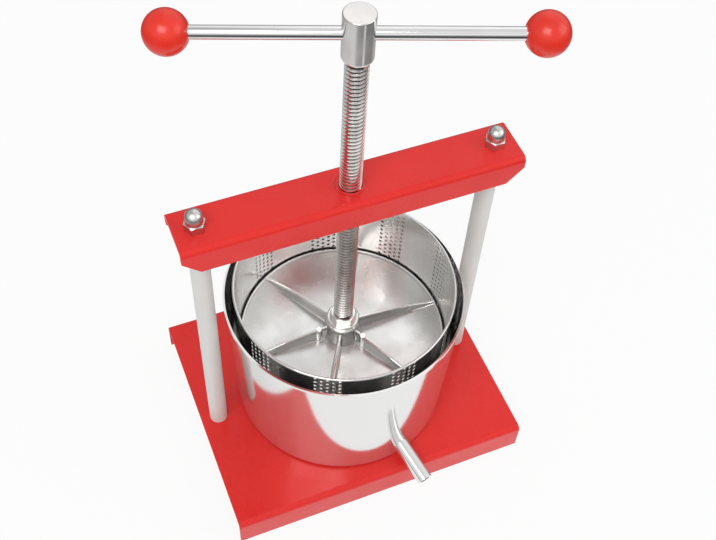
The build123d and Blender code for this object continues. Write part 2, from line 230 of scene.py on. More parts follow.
def basket_grid(sizes):
    """Flat pattern of the basket wall as (azimuth, height) points, with quads and the rings of its holes.

    Every hole sits in a cell one column wide and one row high, and eight quads join the cell's edge to the
    hole's edge. Odd columns are half a row lower, so all edges meet at half-row heights. Plain panels fill
    the space between the bands.
    """
    half_row = sizes.row_pitch / 2
    half_column = sizes.column_pitch / 2
    top = wall_high.z - sizes.top_margin
    levels = 2 * sizes.rows + 1
    heights = top - half_row * np.arange(levels + 1)
    band_angle = 2 * math.pi / sizes.bands
    band_width = sizes.columns * sizes.column_pitch
    corners = 8
    turns = (np.arange(corners) / corners - 3 / corners) * 2 * math.pi
    ring = np.column_stack([np.cos(turns), np.sin(turns)])
    edge = np.sign(np.round(ring, 6))

    band, column, row = (a.ravel() for a in np.meshgrid(
        np.arange(sizes.bands), np.arange(sizes.columns), np.arange(sizes.rows), indexing="ij"))
    azimuth = band * band_angle + (column - (sizes.columns - 1) / 2) * sizes.column_pitch
    height = top - half_row * (1 + column % 2) - row * sizes.row_pitch
    centre = np.column_stack([azimuth, height])[:, None, :]
    cell = centre + edge[None] * np.array([half_column, half_row])
    hole = centre + ring[None] * (sizes.hole / 2) * np.array([1 / wall_high.x, 1])
    points = np.concatenate([cell, hole], axis=1).reshape(-1, 2)
    k = np.arange(corners)
    after = (k + 1) % corners
    pattern = np.stack([k, after, corners + after, corners + k], axis=-1)
    offsets = 2 * corners * np.arange(len(azimuth))
    quads = (offsets[:, None, None] + pattern[None]).reshape(-1, 4)
    rings = offsets[:, None] + corners + k[None]

    # Half cells left over at the top of odd columns and the bottom of even ones, two quads each
    band, column = (a.ravel() for a in np.meshgrid(
        np.arange(sizes.bands), np.arange(sizes.columns), indexing="ij"))
    left = band * band_angle + (column - sizes.columns / 2) * sizes.column_pitch
    upper = np.where(column % 2 == 1, heights[0], heights[-2])
    pair = np.array([[0, -1], [1, -1], [1, 0], [0, 0], [1, -1], [2, -1], [2, 0], [1, 0]])
    across = left[:, None] + pair[None, :, 0] * half_column
    fill = np.stack([across, upper[:, None] + pair[None, :, 1] * half_row], -1)
    quads = np.concatenate([quads, len(points) + np.arange(fill.shape[0] * fill.shape[1]).reshape(-1, 4)])
    points = np.concatenate([points, fill.reshape(-1, 2)])

    # Plain panels between the bands
    steps = 6
    for number in range(sizes.bands):
        across = number * band_angle + np.linspace(band_width / 2, band_angle - band_width / 2, steps + 1)
        a, h = np.meshgrid(across, heights[::-1])
        panel = np.stack([a, h], -1).reshape(-1, 2)
        quads = np.concatenate([quads, len(points) + grid_quads(len(heights), steps + 1, wrap_columns=False)])
        points = np.concatenate([points, panel])
    return points, quads, rings, heights[0], heights[-1]


def basket_surface(sizes):
    """Closed, welded surface of the perforated wall: two skins, hole edges, upper and lower edge.

    A point of the pattern at azimuth a and height z lies at x = r cos(a), y = r sin(a), where the radius r
    shrinks from its value at the seam by the tangent of the taper for each unit of height below it.
    """
    flat, quads, rings, top, low = basket_grid(sizes)
    flat[:, 0] = np.mod(flat[:, 0], 2 * math.pi)
    flat = np.round(flat, 7)
    inner = wall_high.x - sizes.fold
    outer = inner + sizes.sheet
    lean = math.tan(sizes.taper)

    def skin(radius):
        r = radius - (wall_high.z - flat[:, 1]) * lean
        return np.column_stack([r * np.cos(flat[:, 0]), r * np.sin(flat[:, 0]), flat[:, 1]])

    def edge(radius, height):
        return [radius - (wall_high.z - height) * lean, height]

    count = len(flat)
    points = [skin(outer), skin(inner)]
    after = np.roll(rings, -1, axis=1)
    hole_edges = np.stack([rings, after, count + after, count + rings], -1).reshape(-1, 4)
    faces = [quads, count + quads[:, ::-1], hole_edges]

    # The two edges are turned profiles on the azimuths that the pattern has along its top
    top, low = np.round((top, low), 7)
    azimuths = np.unique(flat[flat[:, 1] == top, 0])
    upper = np.array([edge(outer, top), edge(outer, wall_high.z), edge(inner, wall_high.z), edge(inner, top)])
    lower = np.array([edge(inner, low), edge(inner, wall_low.z), edge(outer, wall_low.z), edge(outer, low)])
    total = 2 * count
    for profile in (upper, lower):
        points.append(revolve_points(profile, azimuths))
        faces.append(total + grid_quads(len(profile), len(azimuths)))
        total += len(profile) * len(azimuths)
    return weld(np.concatenate(points), np.concatenate(faces))


def thread_surface(sizes, columns=48):
    """Screw thread as a strip wound along a helix, with a plain shank below and a spigot above.

    A point is given by its turn angle t along the helix and its place j across the thread: crest start, crest
    end, root start, root end. Its height is start + lead t / 2 pi + offset of j, held between the thread's
    ends, and its radius is that of crest or root, narrowed to the root where the thread runs out.
    """
    crest = screw_high.x
    root = sizes.minor / 2
    turns = int(math.ceil((thread_top - thread_bottom) / sizes.lead)) + 2
    n = np.arange(turns * columns + 1)
    angle = 2 * math.pi * n / columns
    shares = np.array([0, sizes.crest_share, sizes.crest_share + sizes.flank_share, 1 - sizes.flank_share])
    radii = np.array([crest, crest, root, root])
    across = len(shares)
    height = thread_bottom - sizes.lead + sizes.lead * (n[:, None] / columns + shares[None, :])
    height = np.clip(height, thread_bottom, thread_top)
    fade = np.minimum(height - thread_bottom, thread_top - height) / sizes.run_out
    radius = np.minimum(radii[None, :], root + (crest - root) * np.clip(fade, 0, 1))
    x = radius * np.cos(angle)[:, None]
    y = radius * np.sin(angle)[:, None]
    points = np.stack([x, y, height], -1).reshape(-1, 3)
    strip = grid_quads(len(n), across, wrap_columns=False)[:, ::-1]
    first = np.arange(len(n) - 1 - columns) * across
    last = first + across - 1
    next_turn = first + columns * across
    join = np.stack([last, last + across, next_turn + across, next_turn], -1)
    quads = np.concatenate([strip, join])

    shank, spigot = sizes.shank / 2, sizes.spigot / 2
    ends = (
        np.array([[0, screw_low.z], [shank - sizes.chamfer, screw_low.z],
                  [shank, screw_low.z + sizes.chamfer], [shank, thread_bottom], [root, thread_bottom]]),
        np.array([[root, thread_top], [spigot, thread_top], [spigot, screw_high.z], [0, screw_high.z]]),
    )
    for profile in ends:
        quads = np.concatenate([quads, len(points) + grid_quads(len(profile), columns)])
        points = np.concatenate([points, revolve_points(profile, angle[:columns])])
    return weld(points, quads)


def rounded_step(value, width):
    """Smooth rise from 0 to 1 as value goes from -width/2 to width/2, by the cubic 3 s^2 - 2 s^3."""
    s = np.clip(value / width + 0.5, 0, 1)
    return s * s * (3 - 2 * s)


def blend_higher(a, b, radius):
    """Higher of two heights, with a fillet of about the given radius where they cross."""
    overlap = np.maximum(radius - np.abs(a - b), 0)
    return np.maximum(a, b) + overlap * overlap / (4 * radius)


def plate_surface(sizes):
    """Cast press plate: a height over the plate for each radius and angle, then its edge, underside and bore.

    Each sixth of the plate has columns packed beside its rib: the distance d from the rib's middle line grows
    evenly over the rib's flank, then the angle grows evenly to the next rib. The height is the highest of
    floor, hub cone, rim, rib and bosses, with fillets where they meet. Every other rib has a boss beside the
    hub.
    """
    # Small edges and flanks of the casting, and how far the foot of each form lies under the floor
    hub_edge = 0.0022
    hub_edge_drop = 0.0016
    rim_flank = 0.0005
    rim_edge = 0.0006
    rib_crown = 0.0008
    boss_flank = 0.0016
    boss_overlap = 0.001
    hub_boss_flank = 0.0012
    lower_edge = 0.001
    recess_edge = 0.0005
    bury = 0.001
    rib_slope = sizes.rib_width * 0.45
    rib_reach = sizes.fillet * 1.6
    rib_fillet = sizes.fillet * 0.7
    boss_fillet = sizes.fillet * 0.4
    tight_fillet = sizes.fillet * 0.25

    radius = plate_high.x
    floor = plate_low.z + sizes.floor
    rim_inner = radius - sizes.rim_width
    rim_top = floor + sizes.rim_height
    hub_foot = sizes.hub_foot / 2
    hub_top = sizes.hub_top / 2
    bore = sizes.bore / 2
    recess = sizes.recess / 2
    boss_centre = rim_inner - sizes.boss / 2 + boss_overlap
    hub_end = sizes.hub_boss_place + sizes.hub_boss / 2 + sizes.fillet

    # Rows of points from the bore outwards: a zone's end, and how many rows lead to it
    zones = ((hub_top, 4), (hub_end, 44), (boss_centre - sizes.boss, 40), (rim_inner - sizes.fillet, 26),
             (radius, 34))
    rows = [[bore, hub_top - hub_edge]]
    for end, steps in zones:
        rows.append(np.linspace(rows[-1][-1], end, steps)[1:])
    r = np.concatenate(rows)[:, None]

    # Columns of points from a rib's middle line to half-way to the next: close over its flank, then wider
    close_columns = 12
    wide_columns = 12
    most_close = 0.6
    half_flank = sizes.rib_width / 2 + rib_reach
    near = np.linspace(0, 1, close_columns)
    far = np.linspace(0, 1, wide_columns + 1)[1:]
    sector = math.pi / sizes.ribs
    d = near[None, :] * half_flank
    close = np.arcsin(np.clip(d / r, 0, math.sin(sector * most_close)))
    wide = close[:, -1:] + far[None, :] * (sector - close[:, -1:])
    half = np.concatenate([close, wide], axis=1)
    one = np.concatenate([-half[:, :0:-1], half], axis=1)[:, 1:]
    azimuth = np.concatenate([one + 2 * sector * i for i in range(sizes.ribs)], axis=1)
    off_rib = np.concatenate([r * np.abs(np.sin(one))] * sizes.ribs, axis=1)
    along_rib = np.concatenate([r * np.cos(one)] * sizes.ribs, axis=1)

    def standing(top, rise):
        """Height of a form that goes from just under the floor to its top as its rise goes from 0 to 1."""
        return floor - bury + (top - floor + bury) * rise

    def drop(place, start, width):
        """Fall of a quarter-round edge, from 0 at its start to 1 at its width."""
        s = np.clip((place - start) / width, 0, 1)
        return 1 - np.sqrt(1 - s * s)

    def boss_rise(place, diameter, flank):
        """Rise of a boss on the rib's middle line: 1 inside its diameter, falling to 0 over its flank."""
        distance = np.hypot(along_rib - place, off_rib)
        return 1 - rounded_step(distance - diameter / 2 + flank / 2, flank)

    cone = plate_high.z - (r - hub_top) * (plate_high.z - floor) / (hub_foot - hub_top)
    hub = np.minimum(cone, plate_high.z - hub_edge_drop * drop(r, hub_top - hub_edge, hub_edge))
    share = np.clip((along_rib - hub_top) / (boss_centre - hub_top), 0, 1)
    ridge = floor + sizes.rib_at_hub + (sizes.rib_at_rim - sizes.rib_at_hub) * share
    ridge = ridge + 4 * sizes.rib_bow * share * (1 - share)
    flank = 1 - rounded_step(off_rib - sizes.rib_width / 2, rib_slope)
    rib = standing(ridge - rib_crown * (2 * off_rib / sizes.rib_width) ** 2, flank)
    rim = standing(rim_top, rounded_step(r - rim_inner, rim_flank))
    rim = rim - rim_edge * drop(r, radius - rim_edge, rim_edge)
    boss = standing(rim_top, boss_rise(boss_centre, sizes.boss, boss_flank))
    has_boss = np.repeat(np.arange(sizes.ribs) % 2 == 1, one.shape[1])
    hub_boss_rise = has_boss * boss_rise(sizes.hub_boss_place, sizes.hub_boss, hub_boss_flank)
    hub_boss = standing(floor + sizes.rib_at_hub, hub_boss_rise)
    z = np.full(azimuth.shape, floor)
    for form, fillet in ((hub, sizes.fillet), (rib, rib_fillet), (rim, tight_fillet), (boss, boss_fillet),
                         (hub_boss, tight_fillet)):
        z = blend_higher(z, form, fillet)
    z = np.minimum(z, plate_high.z)

    # Edge, underside, recess and bore; the recess takes the azimuths of the innermost row
    columns = azimuth.shape[1]
    top = np.stack([r * np.cos(azimuth), r * np.sin(azimuth), z], -1)
    ceiling = plate_low.z + sizes.recess_depth
    outer = np.array([[radius, plate_low.z + lower_edge], [radius - lower_edge, plate_low.z]])
    inner = np.array([[recess + recess_edge, plate_low.z], [recess, plate_low.z + recess_edge],
                      [recess, ceiling], [bore, ceiling]])
    below = revolve_points(outer, azimuth[-1])
    inside = revolve_points(inner, azimuth[0])
    points = np.concatenate([top.reshape(-1, 3), below, inside])
    quads = grid_quads(len(r) + len(outer) + len(inner), columns, wrap_rows=True)[:, ::-1]
    return weld(points, quads)


def group_sockets(group, inputs, outputs):
    """Named sockets of a shader node group: inputs as (name, type, default), outputs as (name, type)."""
    for name, kind, default in inputs:
        socket = group.interface.new_socket(name, in_out="INPUT", socket_type=kind)
        if default is not None:
            socket.default_value = default
    for name, kind in outputs:
        group.interface.new_socket(name, in_out="OUTPUT", socket_type=kind)
    return group.nodes.new("NodeGroupInput"), group.nodes.new("NodeGroupOutput")


def math_node(group, operation, *values):
    """Math node with two or three inputs, each a socket or a number."""
    node = group.nodes.new("ShaderNodeMath")
    node.operation = operation
    for socket, value in zip(node.inputs, values):
        if isinstance(value, bpy.types.NodeSocket):
            group.links.new(value, socket)
        else:
            socket.default_value = value
    return node.outputs[0]


def split(group, vector):
    """Outputs X, Y and Z of a vector."""
    node = group.nodes.new("ShaderNodeSeparateXYZ")
    group.links.new(vector, node.inputs[0])
    return node.outputs


def axis_distance(group, vector):
    """Distance of a place from the Z axis."""
    parts = split(group, vector)
    flat = group.nodes.new("ShaderNodeCombineXYZ")
    group.links.new(parts["X"], flat.inputs["X"])
    group.links.new(parts["Y"], flat.inputs["Y"])
    length = group.nodes.new("ShaderNodeVectorMath")
    length.operation = "LENGTH"
    group.links.new(flat.outputs[0], length.inputs[0])
    return length.outputs["Value"]


def azimuth_share(group, vector):
    """Azimuth of a place about the Z axis as a share of a turn, counted from -X."""
    parts = split(group, vector)
    turn = math_node(group, "ARCTAN2", parts["Y"], parts["X"])
    return math_node(group, "MULTIPLY_ADD", turn, 1 / (2 * math.pi), 0.5)


def cloudy_group():
    """Soft patches: three-dimensional noise, mapped to run from Low to High."""
    group = bpy.data.node_groups.new("soft_patches", "ShaderNodeTree")
    given, out = group_sockets(
        group,
        [("Vector", "NodeSocketVector", None), ("Scale", "NodeSocketFloat", 20.0),
         ("Low", "NodeSocketFloat", 0.2), ("High", "NodeSocketFloat", 0.4)],
        [("Value", "NodeSocketFloat")],
    )
    noise = group.nodes.new("ShaderNodeTexNoise")
    noise.inputs["Detail"].default_value = 2.0
    group.links.new(given.outputs["Vector"], noise.inputs["Vector"])
    group.links.new(given.outputs["Scale"], noise.inputs["Scale"])
    spread = group.nodes.new("ShaderNodeMapRange")
    spread.interpolation_type = "SMOOTHSTEP"
    spread.inputs["From Min"].default_value = 0.3
    spread.inputs["From Max"].default_value = 0.7
    group.links.new(noise.outputs["Fac"], spread.inputs["Value"])
    group.links.new(given.outputs["Low"], spread.inputs["To Min"])
    group.links.new(given.outputs["High"], spread.inputs["To Max"])
    group.links.new(spread.outputs["Result"], out.inputs["Value"])
    return group


def turning_group():
    """Fine marks left by turning or polishing about the Z axis: noise that follows height and radius only."""
    group = bpy.data.node_groups.new("turning_marks", "ShaderNodeTree")
    given, out = group_sockets(
        group,
        [("Vector", "NodeSocketVector", None), ("Fineness", "NodeSocketFloat", 900.0),
         ("Wander", "NodeSocketFloat", 0.0004)],
        [("Height", "NodeSocketFloat")],
    )
    radius = axis_distance(group, given.outputs["Vector"])
    z = split(group, given.outputs["Vector"])["Z"]
    slow = group.nodes.new("ShaderNodeTexNoise")
    slow.inputs["Scale"].default_value = 14.0
    group.links.new(given.outputs["Vector"], slow.inputs["Vector"])
    wander = math_node(group, "MULTIPLY", slow.outputs["Fac"], given.outputs["Wander"])
    place = group.nodes.new("ShaderNodeCombineXYZ")
    group.links.new(math_node(group, "ADD", radius, wander), place.inputs["X"])
    group.links.new(math_node(group, "ADD", z, wander), place.inputs["Y"])
    marks = group.nodes.new("ShaderNodeTexNoise")
    marks.inputs["Detail"].default_value = 3.0
    group.links.new(place.outputs[0], marks.inputs["Vector"])
    group.links.new(given.outputs["Fineness"], marks.inputs["Scale"])
    group.links.new(marks.outputs["Fac"], out.inputs["Height"])
    return group


def radial_fade_group():
    """Value that rises from 0 at one distance from the Z axis to 1 at another."""
    group = bpy.data.node_groups.new("radial_fade", "ShaderNodeTree")
    given, out = group_sockets(
        group,
        [("Vector", "NodeSocketVector", None), ("Inner", "NodeSocketFloat", 0.0),
         ("Outer", "NodeSocketFloat", 1.0)],
        [("Value", "NodeSocketFloat")],
    )
    spread = group.nodes.new("ShaderNodeMapRange")
    group.links.new(axis_distance(group, given.outputs["Vector"]), spread.inputs["Value"])
    group.links.new(given.outputs["Inner"], spread.inputs["From Min"])
    group.links.new(given.outputs["Outer"], spread.inputs["From Max"])
    group.links.new(spread.outputs["Result"], out.inputs["Value"])
    return group


def orange_peel_group():
    """Slight ripple of a baked powder coat: fine noise on top of a wider and higher one."""
    wide_share = 0.12
    wide_height = 2.0
    group = bpy.data.node_groups.new("orange_peel", "ShaderNodeTree")
    given, out = group_sockets(
        group,
        [("Vector", "NodeSocketVector", None), ("Scale", "NodeSocketFloat", 420.0)],
        [("Height", "NodeSocketFloat")],
    )
    fine = group.nodes.new("ShaderNodeTexNoise")
    fine.inputs["Detail"].default_value = 2.0
    wide = group.nodes.new("ShaderNodeTexNoise")
    for noise in (fine, wide):
        group.links.new(given.outputs["Vector"], noise.inputs["Vector"])
    group.links.new(given.outputs["Scale"], fine.inputs["Scale"])
    group.links.new(math_node(group, "MULTIPLY", given.outputs["Scale"], wide_share), wide.inputs["Scale"])
    ripple = math_node(group, "MULTIPLY", wide.outputs["Fac"], wide_height)
    group.links.new(math_node(group, "ADD", fine.outputs["Fac"], ripple), out.inputs["Height"])
    return group


def shared_group(name):
    """Shared node group of that name, built the first time it is asked for."""
    makers = {"soft_patches": cloudy_group, "turning_marks": turning_group, "orange_peel": orange_peel_group,
              "radial_fade": radial_fade_group}
    return bpy.data.node_groups.get(name) or makers[name]()


class Finish:
    """A node material with a Principled shader and short ways to add the shared effects."""

    def __init__(self, name, colour, metallic, more=()):
        self.material = bpy.data.materials.new(name)
        self.material.use_nodes = True
        self.tree = self.material.node_tree
        self.shader = self.tree.nodes["Principled BSDF"]
        self.shader.inputs["Metallic"].default_value = metallic
        for socket, value in more:
            self.shader.inputs[socket].default_value = value
        self.place = self.tree.nodes.new("ShaderNodeTexCoord").outputs["Object"]
        self.colour = colour

    def effect(self, group, output, **values):
        """Place a shared group and return one of its outputs."""
        node = self.tree.nodes.new("ShaderNodeGroup")
        node.node_tree = shared_group(group)
        self.tree.links.new(self.place, node.inputs["Vector"])
        for name, value in values.items():
            node.inputs[name].default_value = value
        return node.outputs[output]

    def patchy_roughness(self, scale, low, high):
        """Roughness that wanders between two values."""
        self.tree.links.new(self.effect("soft_patches", "Value", Scale=scale, Low=low, High=high),
                            self.shader.inputs["Roughness"])
        return self

    def mixed_colour(self, value, first, second):
        """Base colour that goes from the first colour to the second as a value goes from 0 to 1."""
        mix = self.tree.nodes.new("ShaderNodeMix")
        mix.data_type = "RGBA"
        for socket, colour in zip((s for s in mix.inputs if s.type == "RGBA"), (first, second)):
            if isinstance(colour, bpy.types.NodeSocket):
                self.tree.links.new(colour, socket)
            else:
                socket.default_value = (*colour, 1)
        self.tree.links.new(value, mix.inputs["Factor"])
        self.colour = next(s for s in mix.outputs if s.type == "RGBA")
        self.tree.links.new(self.colour, self.shader.inputs["Base Color"])
        return self

    def patchy_colour(self, scale, low, high):
        """Base colour that drifts softly between two shades of the finish's own colour."""
        patches = self.effect("soft_patches", "Value", Scale=scale, Low=0.0, High=1.0)
        return self.mixed_colour(patches, shade(self.colour, low), shade(self.colour, high))

    def darkened(self, colour, dark_at, clear_at):
        """Base colour that is darker at one distance from the Z axis and as it was at another."""
        fade = self.effect("radial_fade", "Value", Inner=dark_at, Outer=clear_at)
        return self.mixed_colour(fade, colour, self.colour)

    def polished(self, painted_shade, bright):
        """Base colour that follows the piece's painted slope light: painted shade at 0, as it was at a half,
        painted highlight at 1.
        """
        painted_slope_light = self.tree.nodes.new("ShaderNodeAttribute")
        painted_slope_light.attribute_name = "painted_slope_light"
        for start, end, first, second in ((0.0, 0.5, painted_shade, None), (0.5, 1.0, None, bright)):
            spread = self.tree.nodes.new("ShaderNodeMapRange")
            spread.inputs["From Min"].default_value = start
            spread.inputs["From Max"].default_value = end
            self.tree.links.new(painted_slope_light.outputs["Fac"], spread.inputs["Value"])
            self.mixed_colour(spread.outputs["Result"], first or self.colour, second or self.colour)
        return self

    def bump(self, height, distance):
        """Bump from a height, in metres at its full value."""
        node = self.tree.nodes.new("ShaderNodeBump")
        node.inputs["Strength"].default_value = 1.0
        node.inputs["Distance"].default_value = distance
        self.tree.links.new(height, node.inputs["Height"])
        self.tree.links.new(node.outputs["Normal"], self.shader.inputs["Normal"])
        return self


def shade(colour, factor):
    """Colour made lighter or darker by a factor."""
    return tuple(min(1.0, c * factor) for c in colour)


def dress(material, *nodes):
    """Give CAD nodes a material in place of the one they came with."""
    for node in nodes:
        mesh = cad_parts[node].data
        mesh.materials.clear()
        mesh.materials.append(material)


def finished(make):
    """Material with the name of its maker, made the first time it is asked for."""
    return bpy.data.materials.get(make.__name__) or make()


def colours():
    """Colours set in the panel."""
    return bpy.context.scene.press_colours


def red_finish(name):
    """Glossy red powder coat with a slight orange peel and drifting depth of colour."""
    red = colours().frame_red
    gloss = [("Specular IOR Level", 0.25), ("Coat Weight", 0.15), ("Coat Roughness", 0.15)]
    finish = Finish(name, red, 0.0, gloss)
    finish.patchy_colour(9.0, 0.96, 1.03).patchy_roughness(30.0, 0.22, 0.34)
    return finish.bump(finish.effect("orange_peel", "Height", Scale=420.0), 0.000015)


def red_powder_coat():
    """Powder coat of the base and the crossbar."""
    return red_finish("red_powder_coat").material


def bush_coat():
    """Powder coat, darker at the bush's outer seam, with painted shade where the thread's gap begins."""
    gap_edge = 0.0104
    gap_fade = 0.0110
    seam_fade = 0.0133
    seam_edge = 0.0140
    finish = red_finish("bush_coat")
    dark = shade(colours().frame_red, 0.3)
    # Painted shade: a darker ring at the inner edge, where the thread's gap lies in shade.
    finish.darkened(dark, gap_edge, gap_fade)
    return finish.darkened(dark, seam_edge, seam_fade).material


def post_paint():
    """Satin light grey paint."""
    finish = Finish("post_paint", colours().post_grey, 0.0)
    finish.patchy_colour(14.0, 0.97, 1.02).patchy_roughness(40.0, 0.34, 0.46)
    finish.bump(finish.effect("orange_peel", "Height", Scale=700.0), 0.00003)
    return finish.material


def chrome_plate():
    """Bright plating with faint smears."""
    finish = Finish("chrome_plate", colours().chrome, 1.0)
    finish.patchy_colour(40.0, 0.97, 1.02).patchy_roughness(45.0, 0.03, 0.1)
    return finish.material


def turned_steel():
    """Bright steel with the fine rings that turning leaves."""
    finish = Finish("turned_steel", colours().steel, 1.0)
    finish.patchy_colour(50.0, 0.95, 1.02).patchy_roughness(60.0, 0.12, 0.24)
    finish.bump(finish.effect("turning_marks", "Height", Fineness=2600.0), 0.00002)
    return finish.material


def thread_steel():
    """Turned steel with painted shade that darkens the grooves of the thread."""
    groove = 0.0081
    unshaded_from = 0.0092
    steel = colours().steel
    finish = Finish("thread_steel", steel, 1.0)
    finish.patchy_colour(70.0, 0.92, 1.06).patchy_roughness(60.0, 0.14, 0.26)
    # Painted shade: the base colour darkens towards the thread's root, where the grooves lie in shade.
    finish.darkened(shade(steel, 0.25), groove, unshaded_from)
    return finish.material


def polished_steel():
    """Mirror-polished sheet with faint polishing rings and slow waves."""
    finish = Finish("polished_steel", colours().steel, 0.92)
    finish.patchy_colour(12.0, 0.97, 1.01).patchy_roughness(16.0, 0.05, 0.12)
    finish.bump(finish.effect("turning_marks", "Height", Fineness=1500.0), 0.00001)
    return finish.material


def basket_steel():
    """Bright rolled sheet of the basket, a little duller than the pot."""
    finish = Finish("basket_steel", colours().steel, 1.0)
    finish.patchy_colour(18.0, 0.95, 1.02).patchy_roughness(22.0, 0.2, 0.3)
    finish.bump(finish.effect("turning_marks", "Height", Fineness=1800.0), 0.000008)
    return finish.material


def cast_polish():
    """Polished casting with uneven gloss and shallow waves, with painted shade on the steep faces and a
    painted highlight on the raised tops.
    """
    cast = colours().cast
    finish = Finish("cast_polish", cast, 1.0)
    finish.patchy_colour(35.0, 0.94, 1.03).patchy_roughness(28.0, 0.22, 0.34)
    # Painted shade darkens the steep rib and hub flanks, and a painted highlight lightens the rib and rim
    # tops.
    finish.polished(shade(cast, 0.55), shade(cast, 1.25))
    finish.bump(finish.effect("turning_marks", "Height", Fineness=260.0), 0.00003)
    return finish.material


def knob_plastic():
    """Glossy red plastic with a faint moulded ripple."""
    finish = Finish("knob_plastic", colours().knob_red, 0.0, [("Coat Weight", 0.15), ("Coat Roughness", 0.1)])
    finish.patchy_colour(30.0, 0.96, 1.03).patchy_roughness(60.0, 0.24, 0.34)
    finish.bump(finish.effect("orange_peel", "Height", Scale=300.0), 0.00002)
    return finish.material


def zinc_plate():
    """Dull plating of the nuts, washers and tie rods."""
    finish = Finish("zinc_plate", colours().zinc, 1.0)
    finish.patchy_colour(80.0, 0.9, 1.08).patchy_roughness(90.0, 0.2, 0.36)
    return finish.material


class PRESS_OT_frame(bpy.types.Operator):
    """Paint the base, crossbar, bush and posts"""

    bl_idname = "press.frame"
    bl_label = "Frame"

    def execute(self, context):
        dress(finished(red_powder_coat), "base", "crossbar")
        dress(finished(bush_coat), "screw_bush")
        dress(finished(post_paint), "post_left", "post_right")
        return {"FINISHED"}


class PRESS_OT_fasteners(bpy.types.Operator):
    """Plate the nuts, washers and tie rods"""

    bl_idname = "press.fasteners"
    bl_label = "Fasteners"

    def execute(self, context):
        kinds = ("cap_nut", "tie_rod", "base_washer", "base_nut")
        paired = [f"{piece}_{side}" for piece in kinds for side in ("left", "right")]
        dress(finished(zinc_plate), *paired, "retaining_washer", "retaining_nut")
        dress(finished(turned_steel), "thrust_washer", "thrust_nut")
        return {"FINISHED"}


class PRESS_OT_screw(bpy.types.Operator):
    """Cut the screw's thread as a helix and finish the head"""

    bl_idname = "press.screw"
    bl_label = "Screw"

    def execute(self, context):
        obj = build_mesh("threaded_screw", *thread_surface(context.scene.press_screw))
        obj.data.materials.append(finished(thread_steel))
        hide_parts("screw")
        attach(obj, "screw")
        dress(finished(turned_steel), "screw_head")
        return {"FINISHED"}


class PRESS_OT_handle(bpy.types.Operator):
    """Finish the handle bar and its knobs"""

    bl_idname = "press.handle"
    bl_label = "Handle"

    def execute(self, context):
        dress(finished(chrome_plate), "handle_bar")
        dress(finished(knob_plastic), "knob_left", "knob_right")
        return {"FINISHED"}


class PRESS_OT_plate(bpy.types.Operator):
    """Cast the press plate with its filleted ribs"""

    bl_idname = "press.plate"
    bl_label = "Press plate"

    def execute(self, context):
        sizes = context.scene.press_plate
        obj = build_mesh("cast_press_plate", *plate_surface(sizes), sharp=math.radians(50))
        # Marks where shade and highlight are painted into the plate's colour.
        mark_polish(obj, plate_low.z + sizes.floor)
        obj.data.materials.append(finished(cast_polish))
        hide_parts("press_plate")
        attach(obj, "plate")
        return {"FINISHED"}


class PRESS_OT_pot(bpy.types.Operator):
    """Polish the pot, its spout and the basket's rolled rim"""

    bl_idname = "press.pot"
    bl_label = "Pot"

    def execute(self, context):
        dress(finished(polished_steel), "pot_wall", "pot_floor", "spout", "basket_rim")
        return {"FINISHED"}


class PRESS_OT_basket(bpy.types.Operator):
    """Build the perforated basket and finish its floor"""

    bl_idname = "press.basket"
    bl_label = "Basket"

    def execute(self, context):
        steel = finished(basket_steel)
        obj = build_mesh("perforated_basket", *basket_surface(context.scene.press_basket))
        obj.data.materials.append(steel)
        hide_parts("basket_wall")
        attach(obj, "pot")
        dress(steel, "basket_floor")
        return {"FINISHED"}


def soft_box(name, place, aim, width, height, watts):
    """Rectangular lamp at a place, turned to face a point."""
    lamp = bpy.data.lights.new(name, "AREA")
    lamp.shape = "RECTANGLE"
    lamp.size = width
    lamp.size_y = height
    lamp.energy = watts
    obj = bpy.data.objects.new(name, lamp)
    obj.location = place
    obj.rotation_euler = (Vector(aim) - Vector(place)).to_track_quat("-Z", "Y").to_euler()
    bpy.context.scene.collection.objects.link(obj)


def grey_ramp(tree, value, stops):
    """Colour ramp that turns a value into grey levels, given as (value, level) stops."""
    node = tree.nodes.new("ShaderNodeValToRGB")
    elements = node.color_ramp.elements
    elements[0].position, elements[1].position = stops[0][0], stops[-1][0]
    for place, _ in stops[1:-1]:
        elements.new(place)
    for element, (place, level) in zip(elements, stops):
        element.color = (level, level, level, 1)
    tree.links.new(value, node.inputs["Fac"])
    return node.outputs["Color"]


def mixed_level(tree, factor, first, second):
    """Level between two others, each a socket or a number."""
    rest = math_node(tree, "SUBTRACT", 1.0, factor)
    return math_node(tree, "ADD", math_node(tree, "MULTIPLY", rest, first),
                     math_node(tree, "MULTIPLY", factor, second))


def seen_directly(tree, path):
    """1 for rays that come from the camera, straight or through glass."""
    return math_node(tree, "MAXIMUM", path.outputs["Is Camera Ray"], path.outputs["Is Transmission Ray"])


